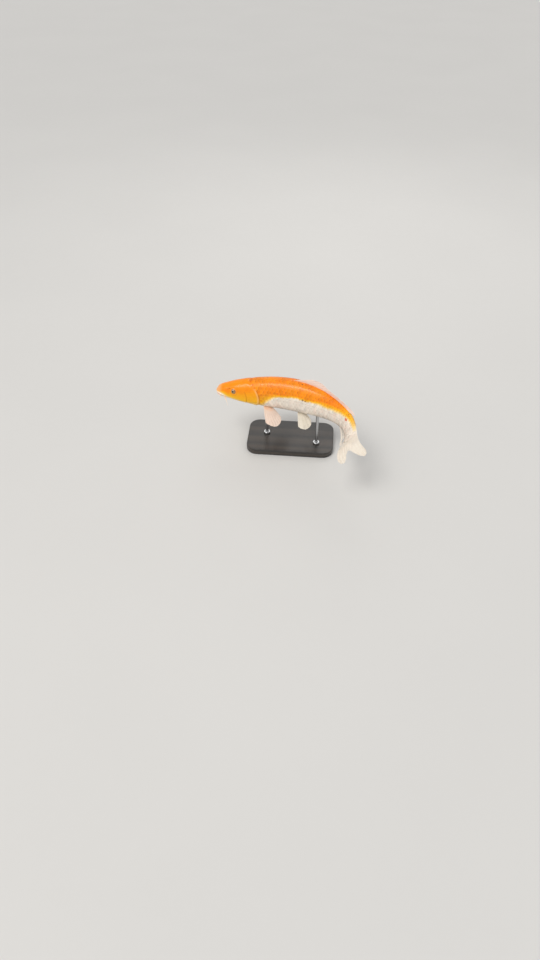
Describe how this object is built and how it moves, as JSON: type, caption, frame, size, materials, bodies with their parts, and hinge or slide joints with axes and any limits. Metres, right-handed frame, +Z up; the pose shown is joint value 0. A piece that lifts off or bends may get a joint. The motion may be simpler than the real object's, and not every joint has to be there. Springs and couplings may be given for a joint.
{
  "type": "koi carp",
  "caption": "Life-size still model of an orange and white koi carp turning to its left, held by two short rods on a flat display base.",
  "frame": {"origin": "centre of the display base's underside", "axes": "+Z up; the fish's head points to -Y and its left side to +X, the side to which the tail is turned"},
  "size_m": [0.3388, 0.4001, 0.2167],
  "materials": {
    "skin_orange": "wet scaly skin, saturated orange over the back",
    "skin_white": "wet scaly skin, cream white on the belly and tail stem",
    "lip": "smooth pinkish lips and barbels",
    "fin": "thin rayed fin membrane, translucent cream white",
    "eye": "polished clear cornea over a dark pupil and a pale gold iris",
    "stand_wood": "black-stained hardwood, satin lacquer",
    "stand_steel": "brushed stainless steel"
  },
  "bodies": {
    "root": {"head": "skin_orange", "gill_cover_left": "skin_orange", "gill_cover_right": "skin_orange", "jaw_lower": "lip", "trunk": "skin_orange", "tail_stem": "skin_white", "eye_left": "eye", "eye_right": "eye", "barbel_upper_left": "lip", "barbel_upper_right": "lip", "barbel_corner_left": "lip", "barbel_corner_right": "lip", "fin_dorsal": "fin", "fin_anal": "fin", "fin_tail": "fin", "fin_pectoral_left": "fin", "fin_pectoral_right": "fin", "fin_pelvic_left": "fin", "fin_pelvic_right": "fin", "stand_base": "stand_wood", "stand_rod_front": "stand_steel", "stand_rod_rear": "stand_steel", "stand_collar_front": "stand_steel", "stand_collar_rear": "stand_steel"}
  },
  "joints": []
}
